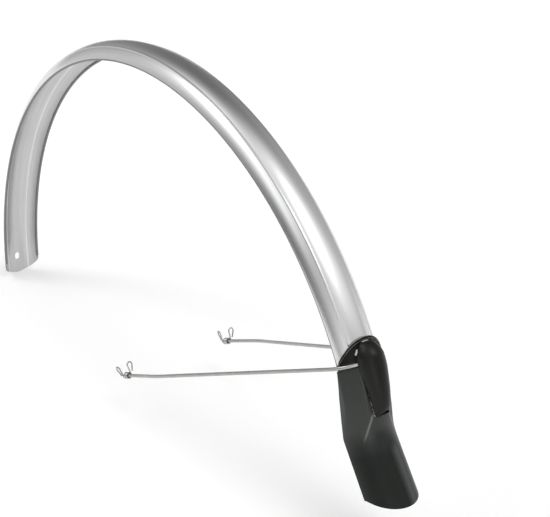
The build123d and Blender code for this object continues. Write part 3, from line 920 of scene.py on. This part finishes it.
def make_cover():
    o = cover_grid(0.0)
    i = cover_grid(COVER_WALL)
    # same number of rows inside
    k = np.linspace(0, len(i) - 1, len(o))
    lo = np.floor(k).astype(int)
    hi = np.minimum(lo + 1, len(i) - 1)
    i = i[lo] + (i[hi] - i[lo]) * (k - lo)[:, None, None]
    v, f = shell(o, i)
    # painted highlights, lighter along the rim: round the upper end, faintly lower down, and at the tip
    th = np.degrees(np.arctan2(o[:, 20, 2], o[:, 20, 0]))
    edge = np.zeros((2,) + o.shape[:2])
    for c in (0, 1, -1, -2):
        edge[0, :, c] = np.where(abs(th - 28.1) < 0.4, 1.0, np.where(th < 22.5, 0.55, 0.0))
    y = o[:, :, 1]
    edge[0, :2] = np.where(np.abs(y[:2] + 1.0) < 3.2, 1.0, 0.3)
    edge[0, -2:] = np.where(np.abs(y[-2:]) < 3.4, 1.0, 0.0)
    ob = piece("stay_cover_moulding", v, f, GLOSS_COVER, ["stay_cover"], 38, None, edge.ravel())
    t = math.radians(19.12)
    out = np.array([math.cos(t), 0, math.sin(t)])
    up = np.array([-math.sin(t), 0, math.cos(t)])
    v, f = prism(slot_outline(9.6, 2.4), out * 361.5, np.array([0, 1.0, 0]), up, out * 14)
    cut(ob, v, f, 38)
    v, f = tube(bow_path(70), (STAY_D + 0.9) / 2, 24)
    cut(ob, v, f, 38)
    return ob


# ---------------------------------------------------------------------- stay
STAY_O = np.array([-STAY_UP * math.sin(STAY_TILT), 0, STAY_UP * math.cos(STAY_TILT)])
STAY_U = np.array([math.cos(STAY_TILT), 0, math.sin(STAY_TILT)])
STAY_N = np.array([-math.sin(STAY_TILT), 0, math.cos(STAY_TILT)])
BOW_U = math.sqrt(ARC_R**2 - STAY_UP**2)


def in_plane(uy):
    uy = np.asarray(uy, float)
    return STAY_O + uy[:, :1] * STAY_U + uy[:, 1:] * np.array([0, 1.0, 0])


def stay_side():
    """One leg from its end to where it meets the bow, in the stay's plane."""
    du, dy = BOW_U - STAY_BEND, -STAY_Y
    dist = math.hypot(du, dy)
    lean = math.atan2(dy, du) + math.asin(BOW_R / dist)
    length = math.sqrt(dist**2 - BOW_R**2)
    tang = (STAY_BEND + length * math.cos(lean), STAY_Y + length * math.sin(lean))
    c = STAY_BEND_R * math.tan(abs(lean) / 2)
    b0 = STAY_BEND - c
    pts = [(u, STAY_Y) for u in np.linspace(STAY_END + 0.4, b0, 12)]
    for k in np.linspace(0, abs(lean), 9)[1:]:
        pts.append((b0 + STAY_BEND_R * math.sin(k), STAY_Y - STAY_BEND_R * (1 - math.cos(k))))
    p = np.array(pts[-1])
    for k in np.linspace(0, 1, 40)[1:]:
        pts.append(tuple(p + (np.array(tang) - p) * k))
    return np.array(pts), tang


def bow_path(limit=None):
    _, tang = stay_side()
    a1 = math.atan2(tang[1], tang[0] - BOW_U)
    if limit is not None:
        a1 = math.radians(limit)
    a = np.linspace(a1, -a1, 61)
    return in_plane(np.stack([BOW_U + BOW_R * np.cos(a), BOW_R * np.sin(a)], -1))


def make_stay():
    leg, _ = stay_side()
    near = in_plane(leg)
    far = in_plane(leg * [1, -1])[::-1]
    path = np.vstack([near, bow_path()[1:-1], far])
    v, f = tube(path, STAY_D / 2, 24, 0.4)
    return piece("stay_wire", v, f, STAY_STEEL, ["stay"], 50)


# --------------------------------------------------------------- spring clips
def clip_path():
    lean = 12.0
    turns = CLIP_TURNS - 2 * lean / 360
    height = CLIP_PITCH * turns
    a0 = math.radians(180 + lean)
    k = np.linspace(0, 1, 150)
    ang = a0 + 2 * np.pi * turns * k
    coil = np.stack([CLIP_RING * np.cos(ang), CLIP_RING * np.sin(ang), -height / 2 + height * k], -1)

    def tangent(a):
        v = np.array([-CLIP_RING * math.sin(a), CLIP_RING * math.cos(a), CLIP_PITCH / (2 * math.pi)])
        return v / np.linalg.norm(v)

    def ear(start, up, sx, which):
        tw = math.radians(EAR_TWIST[which])
        side = np.array([sx * math.cos(tw), 0, -sx * math.sin(tw)])
        side = side - up * (side @ up)
        side /= np.linalg.norm(side)
        # bend aside, leg up, round the loop and back towards the coil
        h = math.radians(18)
        pts = [(-3 * (1 - math.cos(x)), 3 * math.sin(x)) for x in np.linspace(0, h, 6)]
        p1, leg = pts[-1], EAR_LEGS[which]
        p2 = (p1[0] - leg * math.sin(h), p1[1] + leg * math.cos(h))
        for x in np.linspace(0, 1, 6)[1:]:
            pts.append((p1[0] + (p2[0] - p1[0]) * x, p1[1] + (p2[1] - p1[1]) * x))
        c = (p2[0] + EAR_R * math.cos(h), p2[1] + EAR_R * math.sin(h))
        for x in np.radians(np.linspace(198, 198 - EAR_TURN, 30))[1:]:
            pts.append((c[0] + EAR_R * math.cos(x), c[1] + EAR_R * math.sin(x)))
        last = math.radians(198 - EAR_TURN)
        p3 = pts[-1]
        for x in np.linspace(0, EAR_BACK, 6)[1:]:
            pts.append((p3[0] + x * math.sin(last), p3[1] - x * math.cos(last)))
        q = np.array(pts)
        return start + q[:, :1] * side + q[:, 1:] * up

    e1 = ear(coil[-1], tangent(ang[-1]), 1, 1)
    e0 = ear(coil[0], -tangent(ang[0]), -1, 0)
    return np.vstack([e0[::-1], coil[1:], e1[1:]])


def make_clip(side, name, node_name):
    p = clip_path()
    c, s = math.cos(math.radians(CLIP_ROLL[side])), math.sin(math.radians(CLIP_ROLL[side]))
    x, y = p[:, :1] * c - p[:, 1:2] * s, p[:, :1] * s + p[:, 1:2] * c
    o = STAY_O + CLIP_AT * STAY_U + np.array([0, side * STAY_Y, 0])
    q = o + x * np.array([0, 1.0, 0]) + y * STAY_N + p[:, 2:] * STAY_U
    v, f = tube(q, CLIP_WIRE / 2, 16, 0.25)
    return piece(name, v, f, SPRING, [node_name], 50)


make_blade()
make_flap()
make_collar()
make_cover()
make_stay()
make_clip(1, "spring_clip_wire_right", "spring_clip_right")
make_clip(-1, "spring_clip_wire_left", "spring_clip_left")

for n in ("stay_saddle", "clamp_screws", "clamp_washers", "clamp_nuts"):
    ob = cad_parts[n]
    ob.data.materials.clear()
    ob.data.materials.append(ZINC)


# ------------------------------------------------------------- floor and light
def floor_material():
    m, nt, b = material("pale_floor")
    co = nt.nodes.new("ShaderNodeTexCoord").outputs["Object"]
    n = noise(nt, co, 3.0, 2.0, 0.5)
    nt.links.new(tint(nt, n, (0.90, 0.90, 0.90), (0.92, 0.92, 0.92)), b.inputs["Base Color"])
    b.inputs["Roughness"].default_value = 0.9
    b.inputs["Specular IOR Level"].default_value = 0.1
    b.inputs["Emission Color"].default_value = (1.0, 1.0, 1.0, 1.0)
    b.inputs["Emission Strength"].default_value = 0.15
    return m


FLOOR_Z = CAD_BOX[0].z - 0.0006
me = bpy.data.meshes.new("floor")
me.from_pydata([(-9, -9, FLOOR_Z), (9, -9, FLOOR_Z), (9, 9, FLOOR_Z), (-9, 9, FLOOR_Z)], [], [(0, 1, 2, 3)])
floor = bpy.data.objects.new("floor", me)
SCENE.collection.objects.link(floor)
me.materials.append(floor_material())

# A studio room: soft banks of light, each given by its direction (degrees round
# from +X and up from the floor), its spread and its strength.
BANKS = [
    (8.0, 61.0, 23.0, 1.45),      # broad bank over the rear end
    (8.0, 61.0, 6.0, 7.0),        # its lamp
    (-129.0, 51.0, 17.5, 1.35),   # bank at the near side, towards the front
    (-129.0, 51.0, 5.0, 7.0),     # its lamp
    (-85.0, 41.0, 10.5, 0.95),    # its edge
    (-45.0, 3.0, 22.0, 0.85),     # low fill behind the camera
    (45.0, 25.0, 21.0, 0.48),     # low fill at the rear
    (94.0, 10.0, 25.5, 0.46),     # pale wall on the far side
    (-160.0, 0.0, 28.0, 0.66),    # pale wall at the front
    (-28.0, 3.0, 8.0, 2.4),       # low card beside the camera
    (76.0, 2.0, 7.0, 0.5),        # bright edge of the far wall
]
ROOM = 0.03

world = bpy.data.worlds.new("studio")
SCENE.world = world
world.use_nodes = True
wt = world.node_tree
bg = wt.nodes["Background"]
look = wt.nodes.new("ShaderNodeTexCoord").outputs["Generated"]
total = None
for az, el, spread, strength in BANKS:
    a, e = math.radians(az), math.radians(el)
    dot = wt.nodes.new("ShaderNodeVectorMath")
    dot.operation = "DOT_PRODUCT"
    dot.inputs[1].default_value = (math.cos(e) * math.cos(a), math.cos(e) * math.sin(a), math.sin(e))
    wt.links.new(look, dot.inputs[0])
    k = 1.0 / math.radians(spread) ** 2
    fall = wt.nodes.new("ShaderNodeMath")
    fall.operation = "MULTIPLY_ADD"
    fall.inputs[1].default_value, fall.inputs[2].default_value = k, -k
    wt.links.new(dot.outputs["Value"], fall.inputs[0])
    lobe = wt.nodes.new("ShaderNodeMath")
    lobe.operation = "EXPONENT"
    wt.links.new(fall.outputs[0], lobe.inputs[0])
    add = wt.nodes.new("ShaderNodeMath")
    add.operation = "MULTIPLY_ADD"
    add.inputs[1].default_value = strength
    wt.links.new(lobe.outputs[0], add.inputs[0])
    if total is None:
        add.inputs[2].default_value = ROOM
    else:
        wt.links.new(total, add.inputs[2])
    total = add.outputs[0]
bg.inputs["Color"].default_value = (1.0, 1.0, 1.0, 1)
wt.links.new(total, bg.inputs["Strength"])


# -------------------------------------------------------------------- camera
right = Vector((0.5959978, 0.8029861, 0.0))
down = Vector((0.3430778, -0.2546416, -0.9041323))
ahead = Vector((-0.7260057, 0.5388609, -0.4272525))
cam = bpy.data.cameras.new("camera")
cam.sensor_fit = "HORIZONTAL"
cam.sensor_width = 36.0
cam.lens = 1440.376 / 550 * 36.0
cam.clip_start, cam.clip_end = 0.05, 50.0
camera = bpy.data.objects.new("camera", cam)
SCENE.collection.objects.link(camera)
pose = Matrix((right, -down, -ahead)).transposed().to_4x4()
pose.translation = Vector((1.50810, -0.715457, 0.769577))
camera.matrix_world = pose
SCENE.camera = camera

SCENE.view_settings.view_transform = "Standard"
SCENE.view_settings.look = "None"
SCENE.view_settings.exposure = 0.0
SCENE.view_settings.gamma = 1.0

bpy.context.view_layer.update()
